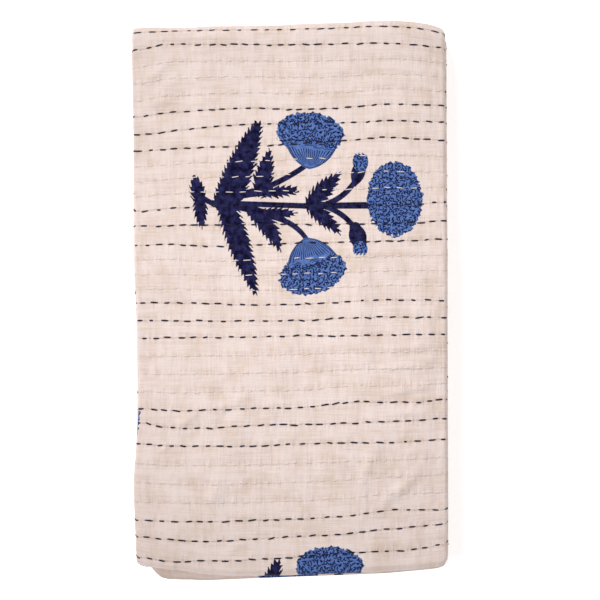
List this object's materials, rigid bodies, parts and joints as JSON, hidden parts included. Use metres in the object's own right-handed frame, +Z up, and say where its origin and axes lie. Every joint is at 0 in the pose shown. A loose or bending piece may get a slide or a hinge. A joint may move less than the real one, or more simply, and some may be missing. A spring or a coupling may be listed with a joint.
{
  "type": "folded bedspread",
  "caption": "Thin stitched cotton bedspread folded into a flat oblong bundle, with rolled folds along its sides and one large fold at an end.",
  "frame": {"origin": "centre of the bundle's outline at the plane it rests on", "axes": "+Y along the bundle's long side, towards its large end fold; +X towards the side where the last fold across the width is; +Z up"},
  "size_m": [0.3292, 0.5842, 0.0483],
  "materials": {
    "cotton": "matt undyed cotton"
  },
  "bodies": {
    "root": {"bedspread": "cotton"}
  },
  "joints": []
}
